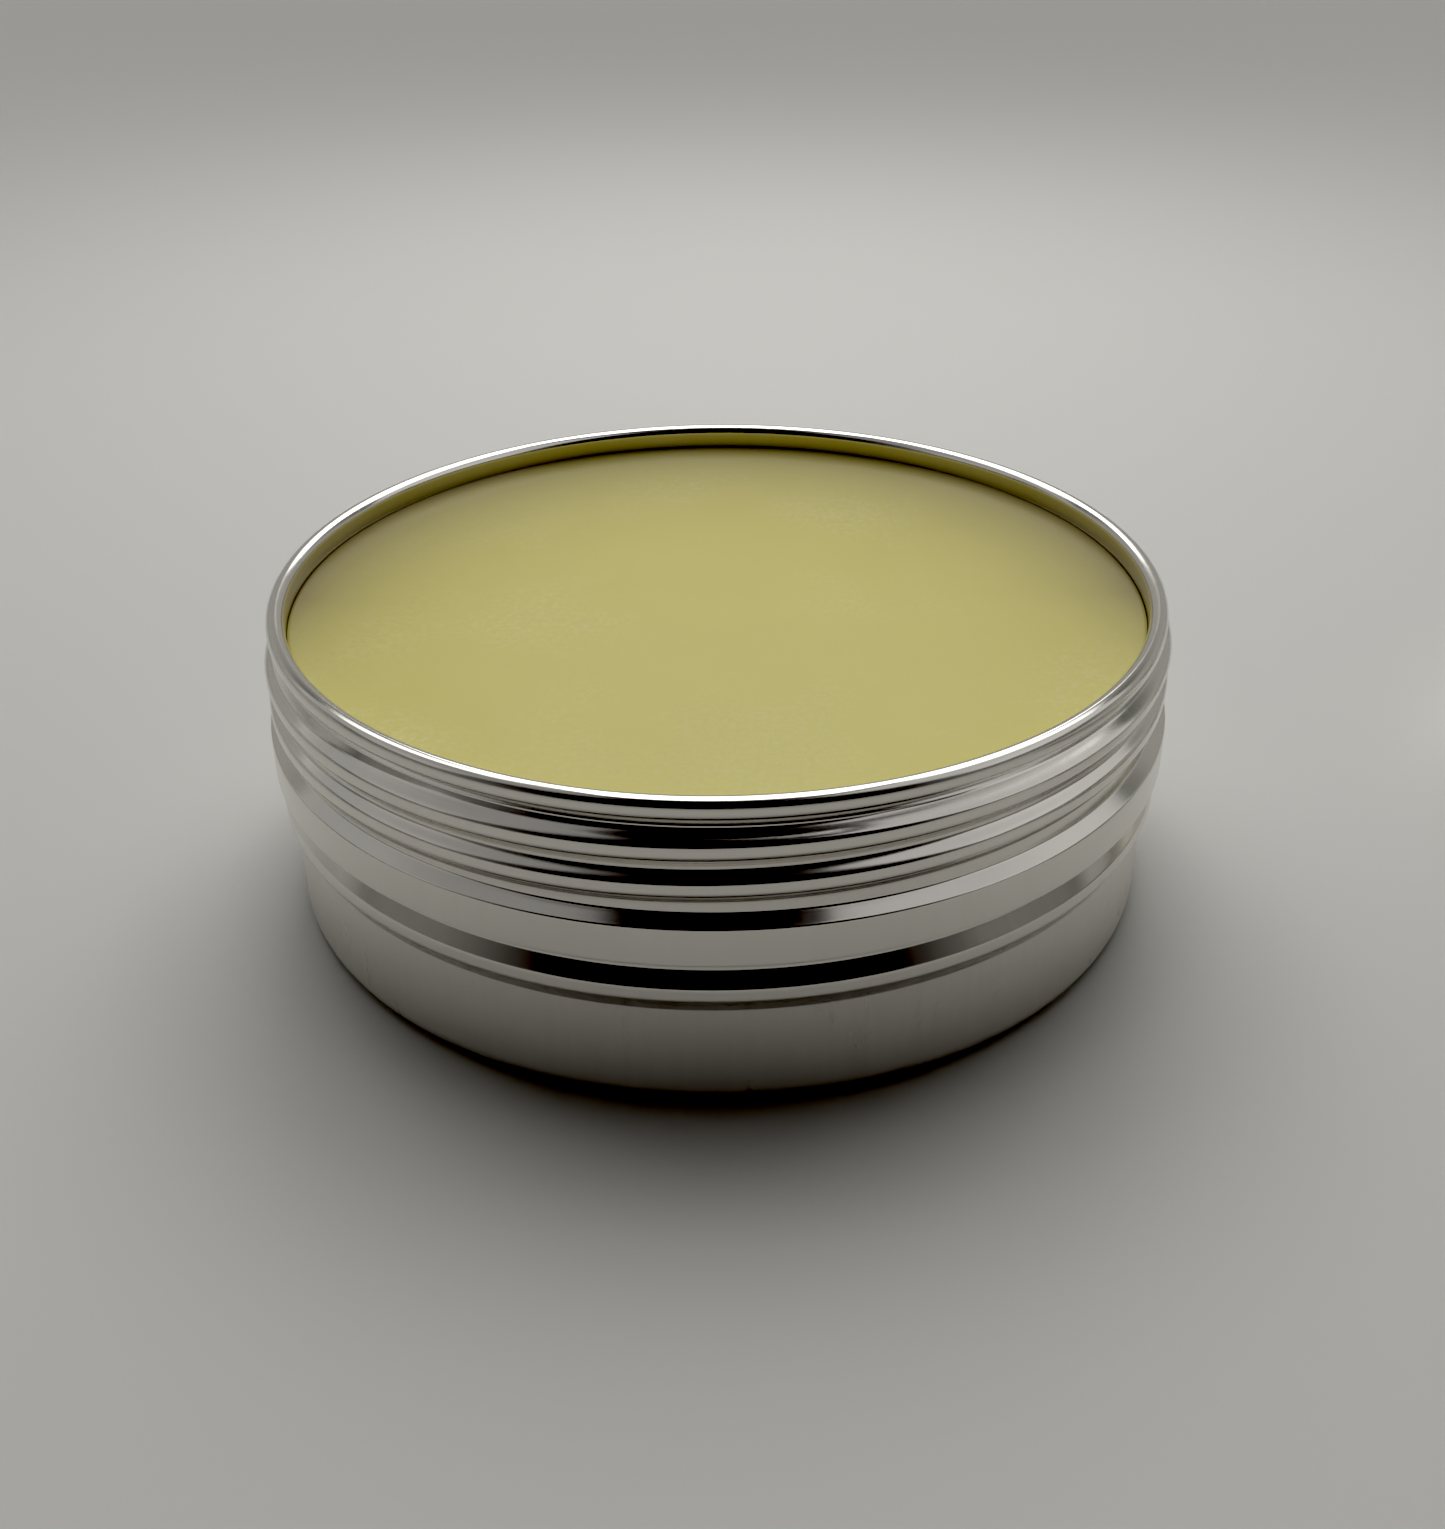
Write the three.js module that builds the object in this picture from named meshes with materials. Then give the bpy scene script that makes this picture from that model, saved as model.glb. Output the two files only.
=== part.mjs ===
// A round aluminium shoe polish tin, open, with its screw lid laid upside down beside it.
// Millimetres, +Z up. The origin is the middle of the tin's base, and -Y is the tin's front.

import * as THREE from 'three';

const { clamp, smoothstep } = THREE.MathUtils;

// Round the tin, in facets.
const FACETS = 60;

// The drawn sheet and the heights above the base, from the bottom up.
const SHEET = 0.35;
const WALL_R = 39.95;
const BASE_CORNER_R = 2;
const WALL_TOP_Z = 9.55;
const BEAD_LOW_Z = 10.95;
const BEAD_TOP_Z = 12;
const BEAD_R = 40.75;
const UNDERCUT_Z = 13.4;
const BAND_LOW_Z = 14.5;
const BAND_TOP_Z = 17.9;
const BAND_R = 41.15;
const SHOULDER_Z = 18.7;
const NECK_LOW_Z = 25.4;
const NECK_TOP_Z = 26.6;
const NECK_R = 39.2;
const CURL_R = 39.5;
const CURL_Z = 27.75;
const CURL_TUBE = 0.8;
const CURL_FLAT = 0.3;
const INNER_R = 39.45;
const INNER_NECK_LOW_Z = 25.5;
const INNER_NECK_TOP_Z = 26.1;

// The rolled thread: one start, right-hand, counted in turns down from its start at the back.
const PITCH = 3.24;
const THREAD_START_Z = 26.28;
const THREAD_TURNS = 2.1;
const ROOT_R = 40.0;
const CREST_R = 40.85;
const CREST_FLAT_ABOVE = 0.2;
const CREST_FLAT_BELOW = 0.5;
const FLANK_ABOVE = 1.05;
const FLANK_BELOW = 1.35;
const FADE_INTO_NECK = 0.5;
const RUN_OUT_TURNS = 0.18;

// The polish and the lid, which is drawn as if it were screwed on.
const POLISH_R = 39.0;
const POLISH_NECK_R = 38.45;
const POLISH_TOP_Z = 26.3;
const GAP = 0.2;
const LINER_R = 40.3;
const LINER_THICK = 1.2;
const LID_INNER_R = 41.15;
const LID_LOW_Z = 18.3;
const LID_CORNER_R = 1.2;
const RIDGE_R = 40.5;
const RIDGE_HALF_WIDTH = 0.95;
const RIDGE_BELOW_CREST = 1.5;
const RIDGE_FROM_TURN = 0.4;
const RIDGE_TO_TURN = 1.65;
const LINER_LOW_Z = CURL_Z + CURL_TUBE + GAP;
const LINER_TOP_Z = LINER_LOW_Z + LINER_THICK;
const PANEL_INNER_Z = LINER_TOP_Z + GAP;
const LID_TOP_Z = PANEL_INNER_Z + SHEET;

// Where the lid lies: its middle is this far to the tin's right.
const LID_AWAY = 120;

const aluminium = new THREE.MeshStandardMaterial({ color: 0xc4c2bd, roughness: 0.28, metalness: 1 });
const wax = new THREE.MeshStandardMaterial({ color: 0xbab274, roughness: 0.55, metalness: 0 });
const foam = new THREE.MeshStandardMaterial({ color: 0xeeede8, roughness: 0.9, metalness: 0 });

// A station is a point of the section, [radius, height]. A station that varies round the tin is a
// function of the angle. The section starts and ends on the axis, and runs with its material on
// the left, seen with +Z up and the radius to the right.
function turned(stations) {
  const positions = [];
  const index = [];
  const rings = stations.length - 2;
  const at = (station, angle) => (typeof station === 'function' ? station(angle) : station);
  for (let i = 1; i <= rings; i += 1) {
    for (let j = 0; j < FACETS; j += 1) {
      const angle = (j / FACETS) * 2 * Math.PI;
      const [r, z] = at(stations[i], angle);
      positions.push(r * Math.cos(angle), r * Math.sin(angle), z);
    }
  }
  const first = rings * FACETS;
  const last = first + 1;
  positions.push(0, 0, stations[0][1]);
  positions.push(0, 0, stations[stations.length - 1][1]);
  for (let j = 0; j < FACETS; j += 1) {
    const next = (j + 1) % FACETS;
    index.push(first, next, j);
    for (let i = 0; i < rings - 1; i += 1) {
      const a = i * FACETS + j;
      const b = i * FACETS + next;
      index.push(a, b, b + FACETS);
      index.push(a, b + FACETS, a + FACETS);
    }
    index.push(last, (rings - 1) * FACETS + j, (rings - 1) * FACETS + next);
  }
  const geometry = new THREE.BufferGeometry();
  geometry.setAttribute('position', new THREE.Float32BufferAttribute(positions, 3));
  geometry.setIndex(index);
  geometry.computeVertexNormals();
  return geometry;
}

// Points of an arc round [r, z], from one angle to another in degrees, both ends included.
function arc(r, z, radius, fromDegrees, toDegrees, steps) {
  const points = [];
  for (let i = 0; i <= steps; i += 1) {
    const angle = THREE.MathUtils.degToRad(fromDegrees + ((toDegrees - fromDegrees) * i) / steps);
    points.push([r + radius * Math.cos(angle), z + radius * Math.sin(angle)]);
  }
  return points;
}

// How far a helical ridge stands up at an angle and a height, from 0 in the root to 1 on its crest.
// Its section is a function of the height above the crest's middle.
function ridgeHeight(angle, z, startZ, fromTurn, toTurn, section) {
  const backFirst = (Math.PI / 2 - angle) / (2 * Math.PI);
  const partTurn = backFirst - Math.floor(backFirst);
  let height = 0;
  for (let turn = partTurn; turn < toTurn; turn += 1) {
    const above = z - (startZ - PITCH * turn);
    const ends = Math.min(turn - fromTurn, toTurn - turn) / RUN_OUT_TURNS;
    height = Math.max(height, section(above) * smoothstep(ends, 0, 1));
  }
  return height;
}

// Stations down (or up) a threaded wall at equal steps of height.
function threadedWall(fromZ, toZ, steps, radiusAt) {
  const stations = [];
  for (let i = 0; i <= steps; i += 1) {
    const z = fromZ + ((toZ - fromZ) * i) / steps;
    stations.push((angle) => [radiusAt(angle, z), z]);
  }
  return stations;
}

// The tin's thread: a rounded flat crest between two flanks.
function crestSection(above) {
  const upper = 1 - smoothstep(above, CREST_FLAT_ABOVE, CREST_FLAT_ABOVE + FLANK_ABOVE);
  const lower = smoothstep(above, -CREST_FLAT_BELOW - FLANK_BELOW, -CREST_FLAT_BELOW);
  return upper * lower;
}

// The lid's thread: a rounded ridge that runs in the tin's root.
function ridgeSection(above) {
  const across = clamp(above / RIDGE_HALF_WIDTH, -1, 1);
  return 0.5 + 0.5 * Math.cos(Math.PI * across);
}

function tinThreadRadius(angle, z) {
  const intoNeck = clamp((z - NECK_LOW_Z) / (NECK_TOP_Z - NECK_LOW_Z), 0, 1);
  const root = ROOT_R - (ROOT_R - NECK_R) * intoNeck;
  const height = ridgeHeight(angle, z, THREAD_START_Z, 0, THREAD_TURNS, crestSection);
  const kept = 1 - smoothstep(z, NECK_TOP_Z - FADE_INTO_NECK, NECK_TOP_Z);
  return root + (CREST_R - ROOT_R) * height * kept;
}

function lidRidgeDepth(angle, z) {
  const startZ = THREAD_START_Z - RIDGE_BELOW_CREST;
  const height = ridgeHeight(angle, z, startZ, RIDGE_FROM_TURN, RIDGE_TO_TURN, ridgeSection);
  return (LID_INNER_R - RIDGE_R) * height;
}

// The cup: flat base, plain wall, small bead, undercut, flat band, rolled thread and curled rim.
function tinBody() {
  const cornerR = WALL_R - BASE_CORNER_R;
  const innerCornerR = BASE_CORNER_R - SHEET;
  return turned([
    [0, 0],
    ...arc(cornerR, BASE_CORNER_R, BASE_CORNER_R, -90, 0, 3),
    [WALL_R, WALL_TOP_Z],
    [BEAD_R - 0.1, BEAD_LOW_Z - 0.1],
    [BEAD_R, BEAD_LOW_Z + 0.2],
    [BEAD_R, BEAD_TOP_Z - 0.2],
    [BEAD_R - 0.1, BEAD_TOP_Z + 0.1],
    [WALL_R, UNDERCUT_Z],
    [WALL_R, BAND_LOW_Z],
    [BAND_R, BAND_LOW_Z],
    [BAND_R, BAND_TOP_Z],
    [BAND_R - 0.3, BAND_TOP_Z + 0.2],
    ...threadedWall(SHOULDER_Z, NECK_TOP_Z, 24, tinThreadRadius),
    ...arc(CURL_R, CURL_Z - CURL_FLAT, CURL_TUBE, -75, 0, 4),
    ...arc(CURL_R, CURL_Z, CURL_TUBE, 0, 180, 7),
    [CURL_R - CURL_TUBE, INNER_NECK_TOP_Z],
    [INNER_R, INNER_NECK_LOW_Z],
    [INNER_R, BASE_CORNER_R],
    ...arc(INNER_R - innerCornerR, SHEET + innerCornerR, innerCornerR, 0, -90, 3),
    [0, SHEET],
  ]);
}

// The cake of wax, poured to just under the rim, with its edge rounded by the pour.
function polish() {
  const edge = 0.3;
  const lowZ = SHEET + GAP;
  return turned([
    [0, lowZ],
    [POLISH_R - BASE_CORNER_R, lowZ],
    [POLISH_R, lowZ + BASE_CORNER_R],
    [POLISH_R, INNER_NECK_LOW_Z - GAP],
    [POLISH_NECK_R, INNER_NECK_TOP_Z - GAP - 0.1],
    ...arc(POLISH_NECK_R - edge, POLISH_TOP_Z - edge, edge, 30, 90, 2),
    [0, POLISH_TOP_Z],
  ]);
}

// The lid's shell: flat panel, small corner, and a skirt whose thread is rolled in from outside.
function lidShell() {
  const outerR = LID_INNER_R + SHEET;
  const innerCornerR = LID_CORNER_R - SHEET;
  const threadTopZ = LID_TOP_Z - 4.6;
  const outside = (angle, z) => outerR - lidRidgeDepth(angle, z);
  const inside = (angle, z) => LID_INNER_R - lidRidgeDepth(angle, z);
  return turned([
    [0, PANEL_INNER_Z],
    ...arc(LID_INNER_R - innerCornerR, PANEL_INNER_Z - innerCornerR, innerCornerR, 90, 0, 2),
    ...threadedWall(threadTopZ, LID_LOW_Z, 14, inside),
    ...threadedWall(LID_LOW_Z, threadTopZ, 14, outside),
    ...arc(outerR - LID_CORNER_R, LID_TOP_Z - LID_CORNER_R, LID_CORNER_R, 0, 90, 3),
    [0, LID_TOP_Z],
  ]);
}

// The foam disc pressed into the lid, which seals on the curled rim.
function lidLiner() {
  const edge = 0.15;
  return turned([
    [0, LINER_LOW_Z],
    [LINER_R - edge, LINER_LOW_Z],
    [LINER_R, LINER_LOW_Z + edge],
    [LINER_R, LINER_TOP_Z],
    [0, LINER_TOP_Z],
  ]);
}

function named(name, geometry, material) {
  const mesh = new THREE.Mesh(geometry, material);
  mesh.name = name;
  return mesh;
}

const tin = new THREE.Group();
tin.add(named('tin_body', tinBody(), aluminium));
tin.add(named('polish', polish(), wax));

// The lid is turned over and laid on its panel beside the tin.
const lid = new THREE.Group();
lid.position.set(LID_AWAY, 0, LID_TOP_Z);
lid.rotation.y = Math.PI;
lid.add(named('lid_liner', lidLiner(), foam));
lid.add(named('lid_shell', lidShell(), aluminium));
tin.add(lid);

export default tin;
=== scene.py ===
"""The looks of an open aluminium shoe polish tin with its screw lid beside it, built round the CAD frame."""

import math

import bpy
from mathutils import Matrix, Vector


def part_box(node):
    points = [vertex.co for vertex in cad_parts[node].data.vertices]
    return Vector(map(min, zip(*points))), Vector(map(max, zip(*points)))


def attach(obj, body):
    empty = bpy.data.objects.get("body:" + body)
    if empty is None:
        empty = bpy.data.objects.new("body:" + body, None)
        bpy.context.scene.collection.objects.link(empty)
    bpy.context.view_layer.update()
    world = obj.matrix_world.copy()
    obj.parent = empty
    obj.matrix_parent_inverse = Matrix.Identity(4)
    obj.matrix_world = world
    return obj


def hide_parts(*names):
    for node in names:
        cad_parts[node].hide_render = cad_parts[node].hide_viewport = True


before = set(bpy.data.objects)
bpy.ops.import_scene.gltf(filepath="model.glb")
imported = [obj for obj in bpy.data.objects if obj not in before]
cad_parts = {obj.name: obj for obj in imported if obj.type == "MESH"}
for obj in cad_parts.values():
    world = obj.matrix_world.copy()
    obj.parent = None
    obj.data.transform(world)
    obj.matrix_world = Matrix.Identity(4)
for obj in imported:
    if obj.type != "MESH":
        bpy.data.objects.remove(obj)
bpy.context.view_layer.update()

MM = 0.001
AROUND = 360  # facets round the smooth pieces
FINE_STEP = 0.13 * MM  # how closely the cup's outside is sampled
INSIDE_STEP = 2 * MM

# The tin, from the CAD frame: the base is at z = 0 and the axis is the Z axis.
tin_low, tin_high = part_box("tin_body")
polish_low, polish_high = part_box("polish")
lid_low, lid_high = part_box("lid_shell")
liner_low, liner_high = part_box("lid_liner")
TIN_TOP = tin_high.z
BAND_R = tin_high.x
POLISH_R = polish_high.x
POLISH_TOP = polish_high.z
LID_X = (lid_low.x + lid_high.x) / 2
LID_R = (lid_high.x - lid_low.x) / 2
LID_HIGH = lid_high.z

# The section of the cup, as steps in from the band and up from the base.
SHEET = 0.35 * MM
GAP = 0.2 * MM  # between rim, liner and lid when the tin is closed
WALL_R = BAND_R - 1.2 * MM
BEAD_R = BAND_R - 0.4 * MM
ROOT_R = BAND_R - 1.15 * MM
CREST_R = BAND_R - 0.3 * MM
CURL_TUBE = 0.8 * MM
CURL_R = BAND_R - 1.65 * MM
CURL_Z = TIN_TOP - CURL_TUBE
CURL_FLAT = 0.3 * MM  # the curl's outer side is upright for this height
BASE_CORNER_R = 1.6 * MM
WALL_TOP_Z = 9.55 * MM
BEAD_LOW_Z = 10.95 * MM
BEAD_TOP_Z = 12 * MM
UNDERCUT_Z = 13.4 * MM
BAND_LOW_Z = 14.5 * MM
BAND_TOP_Z = 17.9 * MM
SHOULDER_Z = 18.7 * MM
NECK_LOW_Z = 25.35 * MM
NECK_LEDGE_Z = 26.05 * MM
NECK_TOP_Z = 26.6 * MM
NECK_R = BAND_R - 1.95 * MM
DULL_WALL_Z = (9.8 * MM, 12.2 * MM)  # metal below this height is duller than the rolled part above
INNER_R = WALL_R - 0.5 * MM
INNER_NECK_R = CURL_R - CURL_TUBE
INNER_NECK_LOW_Z = 25.5 * MM
INNER_NECK_TOP_Z = 26.1 * MM

# The wax sank as it set, and climbs the wall in a band that is wider at the back.
POLISH_SANK = 0.6 * MM
POLISH_CLIMB_WIDTH = 5 * MM
POLISH_RINGS = 150
POLISH_NECK_R = INNER_NECK_R - 0.03 * MM

# The lid's corner, and the ring that the rim has pressed into the foam.
LID_CORNER_R = 1.2 * MM
LID_INNER_CORNER_R = 0.85 * MM
LID_EDGE_R = 0.1 * MM
RING_DEPTH = 0.18 * MM
RING_WIDTH = 0.6 * MM

# The rolled thread, right-hand, counted in turns down from its start at the tin's back.
PITCH = 3.24 * MM
THREAD_START_Z = 26.28 * MM
THREAD_TURNS = 2.1
CREST_FLAT_ABOVE = 0.2 * MM
CREST_FLAT_BELOW = 0.5 * MM
FLANK_ABOVE = 1.05 * MM
FLANK_BELOW = 1.35 * MM
FADE_INTO_NECK = 0.5 * MM
RUN_OUT_TURNS = 0.18
RIDGE_HALF_WIDTH = 0.95 * MM
RIDGE_BELOW_CREST = 1.5 * MM
RIDGE_DEPTH = 0.65 * MM
RIDGE_FROM_TURN = 0.4
RIDGE_TO_TURN = 1.65

# The photograph's camera, as a distance and an angle from the middle of the rim.
CAMERA_DISTANCE = 165.2 * MM
CAMERA_ELEVATION = math.radians(24.33)
CAMERA_DIP = math.radians(5.85)  # how far below the rim's middle it looks
CAMERA_YAW = math.radians(-0.14)
CAMERA_ROLL = math.radians(-0.5)
CAMERA_LENS = 42.38

# The soft studio light: a small box close over the tin, three big ones far off, and a dim room.
SOFT_BOXES = {
    "near_box": {"place": (0.01, 0.21, 0.245), "size": 0.2, "watts": 0.30},
    "far_box": {"place": (0.0, 0.65, 2.62), "size": 1.4, "watts": 15.0},
    "far_box_right": {"place": (1.2, 1.35, 2.34), "size": 1.4, "watts": 9.3},
    "far_box_left": {"place": (-1.2, 1.35, 2.34), "size": 1.4, "watts": 9.3},
}
# Two more light nothing but the bright metal, so that the tin's own shadow stays deep.
METAL_BOXES = {
    "side_box_right": {"place": (0.424, -0.01, 0.424), "size": 0.6, "watts": 0.6},
    "side_box_left": {"place": (-0.422, 0.037, 0.424), "size": 0.6, "watts": 0.33},
}
BOXES_AIM = (0, 0.04, 0)

# The room's steps: over the top from front to back, low down behind, and out to the sides.
FRONT_TO_BACK = (math.radians(92), math.radians(112))
LOW_BEHIND = (math.radians(132), math.radians(156))
FRONT_SIDE = (0.6, 1.0)
FRONT_COLOUR = (0.006, 0.002, 0.0015, 1)
SIDE_COLOUR = (0.185, 0.18, 0.17, 1)
BACK_COLOUR = (0.10, 0.098, 0.09, 1)
LOW_BACK_COLOUR = (0.36, 0.355, 0.34, 1)
BACKDROP_COLOUR = (0.45, 0.445, 0.43, 1)
BLACK_LEVEL = 0.02  # the photograph's deep shadows are clipped
FLOOR_HALF_SIZE = 3.0

# The two ends of each material's slow change of colour, the wax's bloom, and the painted shade at the wax's
# edge.
METAL_COLOURS = (0.71, 0.69, 0.645, 1), (0.77, 0.75, 0.705, 1)
WAX_COLOURS = (0.655, 0.585, 0.125, 1), (0.70, 0.625, 0.155, 1)
BLOOM_COLOUR = (0.80, 0.75, 0.40, 1)
# Painted shade that darkens the wax along its edge at the back and sides.
WAX_PAINTED_SHADE_COLOUR = (0.13, 0.09, 0.006, 1)
FOAM_COLOURS = (0.78, 0.775, 0.75, 1), (0.86, 0.855, 0.835, 1)
FLOOR_COLOURS = (0.685, 0.677, 0.645, 1), (0.715, 0.707, 0.675, 1)

# The painted shade at the wax's edge stands for the rim's shadow and the sheen lost there. It comes in
# between these two Y, reaches full strength halfway, and widens all the way.
PAINTED_SHADE_FROM_Y = -30 * MM
PAINTED_SHADE_TO_Y = 30 * MM
PAINTED_SHADE_STRENGTH = 0.9
PAINTED_SHADE_WIDTH_FRONT = 2.2 * MM
PAINTED_SHADE_WIDTH_BACK_MORE = 7.5 * MM


# ---------------------------------------------------------------- mesh code

def rounded(points, step):
    """A section as [(radius, height)] from corners (radius, height, fillet), sampled about every step."""
    corners = [(Vector(p[:2]), p[2]) for p in points]
    out = [corners[0][0]]
    for i in range(1, len(corners) - 1):
        corner, fillet = corners[i]
        before = (corners[i - 1][0] - corner).normalized()
        after = (corners[i + 1][0] - corner).normalized()
        half = before.angle(after) / 2
        if fillet <= 0 or half > math.radians(89.5):
            out.append(corner)
            continue
        along = fillet / math.tan(half)
        start, end = corner + before * along, corner + after * along
        centre = corner + (before + after).normalized() * (fillet / math.sin(half))
        a, b = start - centre, end - centre
        turn = a.angle_signed(b)
        pieces = max(3, math.ceil(abs(turn) / math.radians(9)))
        for k in range(pieces + 1):
            angle = math.atan2(a.y, a.x) - turn * k / pieces
            out.append(centre + Vector((math.cos(angle), math.sin(angle))) * fillet)
    out.append(corners[-1][0])
    fine = [out[0]]
    for p, q in zip(out, out[1:]):
        pieces = max(1, math.ceil((q - p).length / step))
        fine += [p.lerp(q, k / pieces) for k in range(1, pieces + 1)]
    return [(v.x, v.y) for v in fine]


def arc(r, z, radius, start, end, steps):
    """Points of an arc round (r, z), between two angles in degrees, both included."""
    angles = [math.radians(start + (end - start) * i / steps) for i in range(steps + 1)]
    return [(r + radius * math.cos(a), z + radius * math.sin(a)) for a in angles]


def turned(name, section, shape=None):
    """A solid of revolution from a section that starts and ends on the axis.

    shape(angle, r, z, index) gives back (r, z), for what varies round the piece.
    The UV map is in metres: round the piece, and along the section."""
    shape = shape or (lambda angle, r, z, i: (r, z))
    ring = section[1:-1]
    verts, faces, uvs = [], [], []
    lengths = [0.0]
    for a, b in zip(section, section[1:]):
        lengths.append(lengths[-1] + math.dist(a, b))
    for i, (r, z) in enumerate(ring):
        for j in range(AROUND):
            angle = 2 * math.pi * j / AROUND
            rr, zz = shape(angle, r, z, i)
            verts.append((rr * math.cos(angle), rr * math.sin(angle), zz))
    first, last = len(verts), len(verts) + 1
    verts.append((0, 0, shape(0, *section[0], -1)[1]))
    verts.append((0, 0, shape(0, *section[-1], len(ring))[1]))
    round_r = max(r for r, z in ring)
    u = [2 * math.pi * round_r * j / AROUND for j in range(AROUND + 1)]
    for j in range(AROUND):
        k = (j + 1) % AROUND
        faces.append((first, k, j))
        uvs += [(u[j], lengths[0]), (u[j + 1], lengths[1]), (u[j], lengths[1])]
        for i in range(len(ring) - 1):
            a, b = i * AROUND + j, i * AROUND + k
            faces.append((a, b, b + AROUND, a + AROUND))
            low, high = lengths[i + 1], lengths[i + 2]
            uvs += [(u[j], low), (u[j + 1], low), (u[j + 1], high), (u[j], high)]
        row = (len(ring) - 1) * AROUND
        faces.append((last, row + j, row + k))
        uvs += [(u[j], lengths[-1]), (u[j], lengths[-2]), (u[j + 1], lengths[-2])]
    mesh = bpy.data.meshes.new(name)
    mesh.from_pydata(verts, [], faces)
    layer = mesh.uv_layers.new(name="around")
    for loop, uv in zip(layer.data, uvs):
        loop.uv = uv
    mesh.polygons.foreach_set("use_smooth", [True] * len(mesh.polygons))
    mesh.update()
    piece = bpy.data.objects.new(name, mesh)
    bpy.context.collection.objects.link(piece)
    return piece


def smoothstep(x, low=0.0, high=1.0):
    """0 up to low and 1 from high, with a soft S between them."""
    x = min(1.0, max(0.0, (x - low) / (high - low)))
    return x * x * (3 - 2 * x)


def ridge_height(angle, z, start_z, from_turn, to_turn, section):
    """Height of a helical ridge, from 0 in the root to 1 on its crest.

    section(above) gives it from the height above the middle of the crest."""
    turn = ((math.pi / 2 - angle) / (2 * math.pi)) % 1.0
    height = 0.0
    while turn < to_turn:
        ends = min(turn - from_turn, to_turn - turn) / RUN_OUT_TURNS
        height = max(height, section(z - (start_z - PITCH * turn)) * smoothstep(ends))
        turn += 1
    return height


def crest_section(above):
    """The tin's thread: a flat crest between two soft flanks."""
    upper = 1 - smoothstep(above, CREST_FLAT_ABOVE, CREST_FLAT_ABOVE + FLANK_ABOVE)
    return upper * smoothstep(above, -CREST_FLAT_BELOW - FLANK_BELOW, -CREST_FLAT_BELOW)


def ridge_section(above):
    """The lid's thread: a rounded ridge."""
    across = min(1.0, max(-1.0, above / RIDGE_HALF_WIDTH))
    return 0.5 + 0.5 * math.cos(math.pi * across)


# ---------------------------------------------------------------- pieces

def tin_body():
    """The cup: base, wall, bead, undercut, band, thread, neck and curled rim, of one sheet."""
    outside = rounded([
        (0, 0, 0),
        (WALL_R, 0, BASE_CORNER_R),
        (WALL_R, WALL_TOP_Z, 0.3 * MM),
        (BEAD_R, BEAD_LOW_Z, 0.5 * MM),
        (BEAD_R, BEAD_TOP_Z, 0.5 * MM),
        (WALL_R, UNDERCUT_Z, 0.4 * MM),
        (WALL_R, BAND_LOW_Z, 0.15 * MM),
        (BAND_R, BAND_LOW_Z, 0.12 * MM),
        (BAND_R, BAND_TOP_Z, 0.25 * MM),
        (ROOT_R, SHOULDER_Z, 0.3 * MM),
        (ROOT_R, NECK_LOW_Z, 0.3 * MM),
        (ROOT_R - 0.35 * MM, NECK_LEDGE_Z - 0.06 * MM, 0.04 * MM),
        (ROOT_R - 0.36 * MM, NECK_LEDGE_Z + 0.06 * MM, 0.04 * MM),
        (NECK_R, NECK_TOP_Z, 0.1 * MM),
        (NECK_R, NECK_TOP_Z + 0.1 * MM, 0),
    ], FINE_STEP)
    curl = arc(CURL_R, CURL_Z - CURL_FLAT, CURL_TUBE, -105, 0, 20)
    curl += arc(CURL_R, CURL_Z, CURL_TUBE, 0, 180, 28)
    inside = rounded([
        (INNER_NECK_R, CURL_Z - 0.2 * MM, 0),
        (INNER_NECK_R, INNER_NECK_TOP_Z, 0.4 * MM),
        (INNER_R, INNER_NECK_LOW_Z, 0.4 * MM),
        (INNER_R, SHEET, BASE_CORNER_R),
        (0, SHEET, 0),
    ], INSIDE_STEP)
    section = outside + curl + inside
    threaded = len(outside) - 1

    def shape(angle, r, z, i):
        if i >= threaded or not SHOULDER_Z - 0.5 * MM < z < NECK_TOP_Z:
            return r, z
        height = ridge_height(angle, z, THREAD_START_Z, 0, THREAD_TURNS, crest_section)
        kept = 1 - smoothstep(z, NECK_TOP_Z - FADE_INTO_NECK, NECK_TOP_Z)
        kept *= smoothstep(z, SHOULDER_Z - 0.3 * MM, SHOULDER_Z + 0.2 * MM)
        return r + (CREST_R - ROOT_R) * height * kept, z

    return turned("tin_body_spun", section, shape)


def polish():
    """The wax: it sank a little as it set, and climbs the wall at its edge."""
    low = polish_low.z
    section = rounded([
        (0, low, 0),
        (POLISH_R, low, 1.5 * MM),
        (POLISH_R, INNER_NECK_LOW_Z - 0.3 * MM, 0.3 * MM),
        (POLISH_NECK_R, INNER_NECK_TOP_Z - 0.35 * MM, 0.3 * MM),
        (POLISH_NECK_R, POLISH_TOP - 0.12 * MM, 0),
    ], 0.8 * MM)
    body = len(section)
    for i in range(POLISH_RINGS + 1):
        section.append(((POLISH_NECK_R - 0.1 * MM) * (1 - i / POLISH_RINGS), POLISH_TOP))

    def shape(angle, r, z, i):
        if i + 1 < body:
            return r, z
        backward = 0.5 + 0.5 * math.sin(angle)
        width = POLISH_CLIMB_WIDTH * (0.5 + backward)
        sank = POLISH_SANK * (1 - math.exp((r - POLISH_NECK_R) / width))
        return r, z - sank

    return turned("polish_cake", section, shape)


def to_lid(piece):
    """Turns a piece that was drawn on the closed tin over, onto the place where the lid lies."""
    for v in piece.data.vertices:
        v.co = Vector((LID_X - v.co.x, v.co.y, lid_closed_top() - v.co.z))
    piece.data.update()
    return piece


def lid_closed_top():
    """The lid's top when it is on the tin: it stands on the table at z = 0 turned over."""
    return TIN_TOP + GAP + (liner_high.z - liner_low.z) + GAP + SHEET


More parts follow.
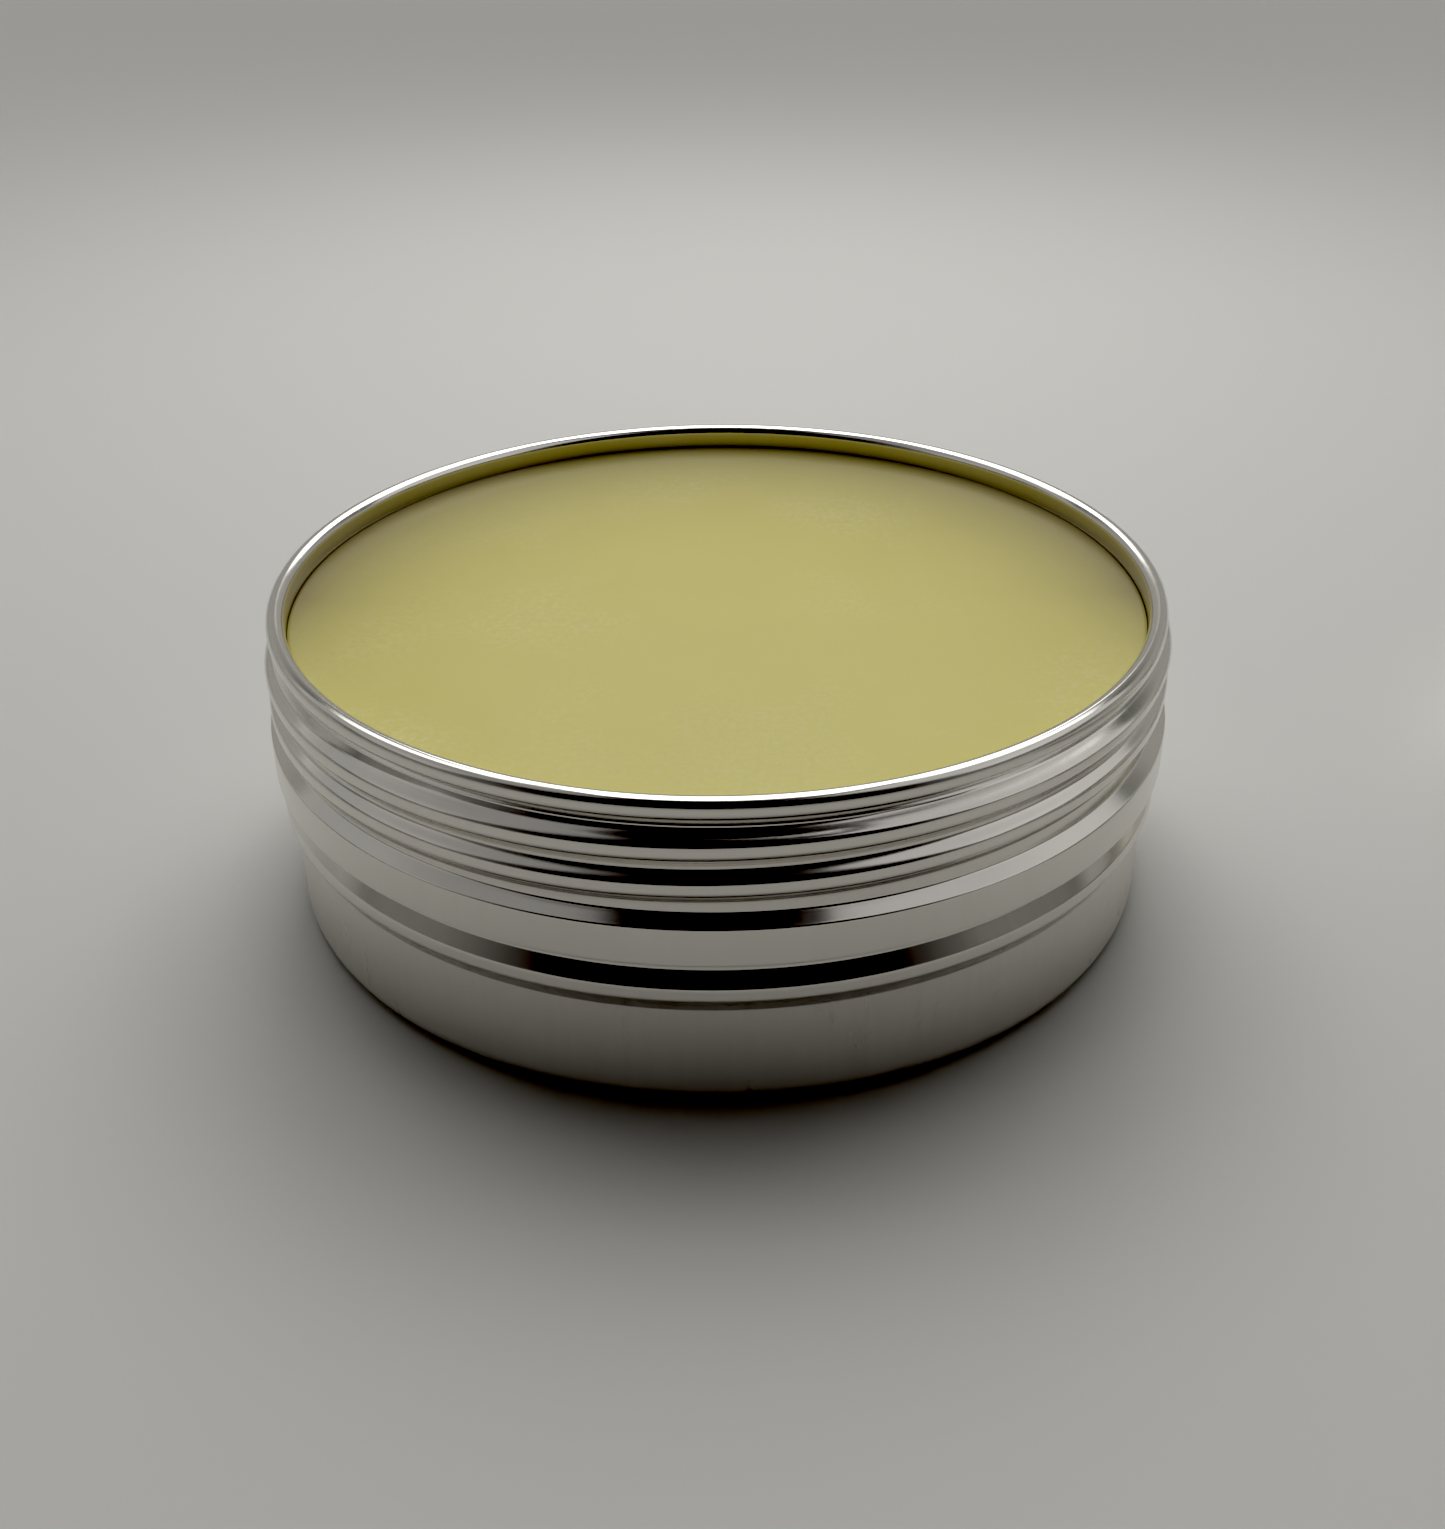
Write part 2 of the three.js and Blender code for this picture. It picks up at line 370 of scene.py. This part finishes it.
def lid_shell():
    """The lid: flat panel, small corner and a skirt with its thread rolled in from outside."""
    top = lid_closed_top()
    low = top - LID_HIGH
    inner_r = LID_R - SHEET
    section = rounded([
        (0, top - SHEET, 0),
        (inner_r, top - SHEET, LID_INNER_CORNER_R),
        (inner_r, low, LID_EDGE_R),
        (LID_R, low, LID_EDGE_R),
        (LID_R, top, LID_CORNER_R),
        (0, top, 0),
    ], 0.15 * MM)

    def shape(angle, r, z, i):
        if r < inner_r - 0.01 * MM or z > top - 3 * MM:
            return r, z
        height = ridge_height(angle, z, THREAD_START_Z - RIDGE_BELOW_CREST,
                              RIDGE_FROM_TURN, RIDGE_TO_TURN, ridge_section)
        return r - RIDGE_DEPTH * height, z

    return to_lid(turned("lid_spun", section, shape))


def lid_liner():
    """The foam disc, with the ring that the curled rim has pressed into it."""
    top = lid_closed_top() - SHEET - GAP
    thick = liner_high.z - liner_low.z
    r = (liner_high.x - liner_low.x) / 2
    section = rounded([
        (0, top - thick, 0),
        (r, top - thick, 0.2 * MM),
        (r, top, 0.1 * MM),
        (0, top, 0),
    ], 0.25 * MM)

    def shape(angle, rr, z, i):
        press = math.exp(-((rr - CURL_R) / RING_WIDTH) ** 2)
        return rr, z + (RING_DEPTH * press if z < top - 0.9 * thick else 0)

    return to_lid(turned("liner_disc", section, shape))


# ---------------------------------------------------------------- materials

def node_tools(tree):
    """Helpers for one node tree: any node, a math node, a mix of two colours and a mapped range."""
    def add(kind, inputs=None, **settings):
        """Adds a node with its settings; an input is a value, or the output that feeds it."""
        node = tree.nodes.new(kind)
        for key, value in settings.items():
            setattr(node, key, value)
        for key, value in (inputs or {}).items():
            if isinstance(value, bpy.types.NodeSocket):
                tree.links.new(value, node.inputs[key])
            else:
                node.inputs[key].default_value = value
        return node

    def calc(operation, *values):
        return add("ShaderNodeMath", dict(enumerate(values)), operation=operation).outputs[0]

    def blend(factor, a, b):
        inputs = {"Factor": factor, "A": a, "B": b}
        return add("ShaderNodeMix", inputs, data_type="RGBA").outputs["Result"]

    def remap(value, low, high, to_low=0.0, to_high=1.0, soft=False):
        inputs = {"Value": value, "From Min": low, "From Max": high, "To Min": to_low, "To Max": to_high}
        kind = "SMOOTHSTEP" if soft else "LINEAR"
        return add("ShaderNodeMapRange", inputs, interpolation_type=kind).outputs["Result"]

    return add, calc, blend, remap


def material(name):
    """A material with one Principled shader, and a helper that links an output to one of its sockets."""
    mat = bpy.data.materials.new(name)
    mat.use_nodes = True
    shader = mat.node_tree.nodes["Principled BSDF"]

    def link(out, socket):
        mat.node_tree.links.new(out, shader.inputs[socket])

    return mat, shader, link


def ramp(add, factor, start, end):
    """A grey ramp from black at start to white at end."""
    node = add("ShaderNodeValToRGB", {"Fac": factor})
    for element, position, grey in zip(node.color_ramp.elements, (start, end), (0.0, 1.0)):
        element.position = position
        element.color = (grey, grey, grey, 1)
    return node.outputs["Color"]


def aluminium(name, dullness):
    """Bright drawn aluminium: draw streaks along the upright walls, rolling lines round them, and smudges."""
    mat, shader, link = material(name)
    add, calc, blend, remap = node_tools(mat.node_tree)
    uv = add("ShaderNodeUVMap", uv_map="around").outputs["UV"]
    surface = add("ShaderNodeTexCoord").outputs
    shader.inputs["Metallic"].default_value = 1.0

    def stretched(round_scale, along_scale, detail):
        scaled = add("ShaderNodeVectorMath", {0: uv, 1: (round_scale, along_scale, 1)}, operation="MULTIPLY")
        inputs = {"Vector": scaled.outputs[0], "Scale": 1.0, "Detail": detail}
        return add("ShaderNodeTexNoise", inputs).outputs["Fac"]

    def height_of(vector):
        return add("ShaderNodeSeparateXYZ", {"Vector": vector}).outputs["Z"]

    facing_up = calc("ABSOLUTE", height_of(surface["Normal"]))
    upright = remap(facing_up, 0.7, 0.98, 1.0, 0.0)
    streaks = calc("MULTIPLY", stretched(900, 40, 3), upright)
    rolling = stretched(25, 2500, 2)
    clouds = add("ShaderNodeTexNoise", {"Vector": surface["Object"], "Scale": 120.0, "Detail": 4.0})
    smudges = ramp(add, clouds.outputs["Fac"], 0.35, 0.75)
    link(blend(streaks, *METAL_COLOURS), "Base Color")

    rough = calc("MULTIPLY_ADD", streaks, 0.10, dullness)
    rough = calc("MULTIPLY_ADD", smudges, 0.06, rough)
    duller = remap(height_of(surface["Object"]), *DULL_WALL_Z, 0.13, 0.0)
    link(calc("ADD", rough, duller), "Roughness")

    height = calc("MULTIPLY_ADD", rolling, 0.6, streaks)
    bump = add("ShaderNodeBump", {"Strength": 0.035, "Distance": 0.00004, "Height": height})
    link(bump.outputs["Normal"], "Normal")
    return mat


def wax():
    """Olive wax: translucent, with a soft sheen, a frosty bloom in patches, a pitted grain and painted shade
    along its edge at the back and sides.
    """
    mat, shader, link = material("olive wax")
    add, calc, blend, remap = node_tools(mat.node_tree)
    place = add("ShaderNodeTexCoord").outputs["Object"]

    def noise(scale, detail, rough=0.5):
        inputs = {"Vector": place, "Scale": scale, "Detail": detail, "Roughness": rough}
        return add("ShaderNodeTexNoise", inputs).outputs["Fac"]

    def painted_edge_shade():
        """Painted shade for the rim's shadow and the sheen lost at the wall: strongest at the wall and fading
        inward; wide at the back, and gone at the front.
        """
        part = add("ShaderNodeSeparateXYZ", {"Vector": place}).outputs
        flat = add("ShaderNodeVectorMath", {0: place, 1: (1, 1, 0)}, operation="MULTIPLY").outputs[0]
        radius = add("ShaderNodeVectorMath", {0: flat}, operation="LENGTH").outputs["Value"]
        back = remap(part["Y"], PAINTED_SHADE_FROM_Y, PAINTED_SHADE_TO_Y, soft=True)
        width = calc("MULTIPLY_ADD", back, PAINTED_SHADE_WIDTH_BACK_MORE, PAINTED_SHADE_WIDTH_FRONT)
        inward = calc("DIVIDE", calc("SUBTRACT", radius, INNER_NECK_R), width)
        strength = remap(back, 0.0, 0.5, 0.0, PAINTED_SHADE_STRENGTH)
        return calc("MULTIPLY", calc("EXPONENT", inward), strength)

    patches = ramp(add, noise(55, 2), 0.44, 0.68)
    grain = ramp(add, noise(1400, 3, 0.7), 0.42, 0.70)
    bloom = calc("MULTIPLY", patches, grain)
    base = blend(noise(90, 3), *WAX_COLOURS)
    frosted = blend(calc("MULTIPLY", bloom, 0.6), base, BLOOM_COLOUR)
    # Painted shade: the wax is darkened near the wall, most at the back.
    link(blend(painted_edge_shade(), frosted, WAX_PAINTED_SHADE_COLOUR), "Base Color")

    link(calc("MULTIPLY_ADD", bloom, 0.25, 0.40), "Roughness")
    shader.inputs["Subsurface Weight"].default_value = 0.25
    shader.inputs["Subsurface Radius"].default_value = (0.0016, 0.0013, 0.0005)
    shader.inputs["Subsurface Scale"].default_value = 1.0

    height = calc("MULTIPLY_ADD", noise(160, 3), 3.0, noise(2600, 2))
    bump = add("ShaderNodeBump", {"Strength": 0.25, "Distance": 0.00005, "Height": height})
    link(bump.outputs["Normal"], "Normal")
    return mat


def foam():
    """White closed-cell foam with fine cells and a faint change of shade."""
    mat, _, link = material("white foam")
    add, calc, blend, _ = node_tools(mat.node_tree)
    place = add("ShaderNodeTexCoord").outputs["Object"]
    cells = add("ShaderNodeTexVoronoi", {"Vector": place, "Scale": 2200.0}).outputs["Distance"]
    clouds = add("ShaderNodeTexNoise", {"Vector": place, "Scale": 60.0, "Detail": 3.0}).outputs["Fac"]
    link(blend(clouds, *FOAM_COLOURS), "Base Color")
    link(calc("MULTIPLY_ADD", cells, 0.2, 0.65), "Roughness")
    bump = add("ShaderNodeBump", {"Strength": 0.5, "Distance": 0.00005, "Height": cells})
    link(bump.outputs["Normal"], "Normal")
    return mat


# ---------------------------------------------------------------- scene

def floor():
    """A large pale sheet of board under everything."""
    size = FLOOR_HALF_SIZE
    mesh = bpy.data.meshes.new("floor")
    corners = [(-size, -size, 0), (size, -size, 0), (size, size, 0), (-size, size, 0)]
    mesh.from_pydata(corners, [], [(0, 1, 2, 3)])
    sheet = bpy.data.objects.new("floor", mesh)
    bpy.context.collection.objects.link(sheet)
    mat, shader, link = material("pale board")
    add, _, blend, _ = node_tools(mat.node_tree)
    place = add("ShaderNodeTexCoord").outputs["Object"]
    clouds = add("ShaderNodeTexNoise", {"Vector": place, "Scale": 6.0, "Detail": 4.0}).outputs["Fac"]
    link(blend(clouds, *FLOOR_COLOURS), "Base Color")
    shader.inputs["Roughness"].default_value = 0.6
    mesh.materials.append(mat)


def camera():
    """Stands at the photograph's distance and elevation, in front of the tin."""
    data = bpy.data.cameras.new("camera")
    data.sensor_width = 36
    data.lens = CAMERA_LENS
    data.clip_start = 0.01
    cam = bpy.data.objects.new("camera", data)
    bpy.context.collection.objects.link(cam)
    rim = Vector((0, 0, CURL_Z))
    back = Vector((0, -math.cos(CAMERA_ELEVATION), math.sin(CAMERA_ELEVATION)))
    cam.location = rim + back * CAMERA_DISTANCE
    tilt = math.pi / 2 - CAMERA_ELEVATION - CAMERA_DIP
    turn = Matrix.Rotation(CAMERA_YAW, 3, "Z") @ Matrix.Rotation(tilt, 3, "X")
    turn = turn @ Matrix.Rotation(CAMERA_ROLL, 3, "Z")
    cam.rotation_euler = turn.to_euler()
    bpy.context.scene.camera = cam


def soft_box(name, place, size, watts):
    """A square soft box that looks at the tin, and that the camera sees only in reflections."""
    light = bpy.data.lights.new(name, "AREA")
    light.shape = "SQUARE"
    light.size = size
    light.energy = watts
    box = bpy.data.objects.new(name, light)
    box.location = place
    box.rotation_euler = (Vector(BOXES_AIM) - box.location).to_track_quat("-Z", "Y").to_euler()
    box.visible_camera = False
    bpy.context.collection.objects.link(box)
    return box


def room():
    """The studio round the tin: nothing but soft steps from dark in front to pale low down behind."""
    world = bpy.data.worlds.new("room")
    world.use_nodes = True
    bpy.context.scene.world = world
    add, calc, blend, remap = node_tools(world.node_tree)

    direction = add("ShaderNodeTexCoord").outputs["Generated"]
    way = add("ShaderNodeSeparateXYZ", {"Vector": direction}).outputs
    over = calc("ARCTAN2", way["Z"], calc("MULTIPLY", way["Y"], -1.0))
    aside = calc("ABSOLUTE", way["X"])
    front = blend(remap(aside, *FRONT_SIDE, soft=True), FRONT_COLOUR, SIDE_COLOUR)
    light = blend(remap(over, *FRONT_TO_BACK, soft=True), front, BACK_COLOUR)
    light = blend(remap(over, *LOW_BEHIND, soft=True), light, LOW_BACK_COLOUR)
    seen = add("ShaderNodeLightPath").outputs["Is Camera Ray"]
    background = world.node_tree.nodes["Background"]
    world.node_tree.links.new(blend(seen, light, BACKDROP_COLOUR), background.inputs["Color"])


def dress(piece, mat, node, body):
    """Gives a smooth piece its material, hides the CAD node it stands for, and ties it to its body."""
    piece.data.materials.append(mat)
    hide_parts(node)
    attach(piece, body)
    return piece


camera()
floor()
for box_name, box in SOFT_BOXES.items():
    soft_box(box_name, **box)
room()
cup = dress(tin_body(), aluminium("bright aluminium", 0.10), "tin_body", "tin")
dress(polish(), wax(), "polish", "tin")
lid = dress(lid_shell(), aluminium("lid aluminium", 0.12), "lid_shell", "lid_outside")
dress(lid_liner(), foam(), "lid_liner", "lid_inside")

metal = bpy.data.collections.new("metal")
metal.objects.link(cup)
metal.objects.link(lid)
for box_name, box in METAL_BOXES.items():
    soft_box(box_name, **box).light_linking.receiver_collection = metal

view = bpy.context.scene.view_settings
view.view_transform = "Standard"
view.use_curve_mapping = True
view.curve_mapping.black_level = (BLACK_LEVEL, BLACK_LEVEL, BLACK_LEVEL)
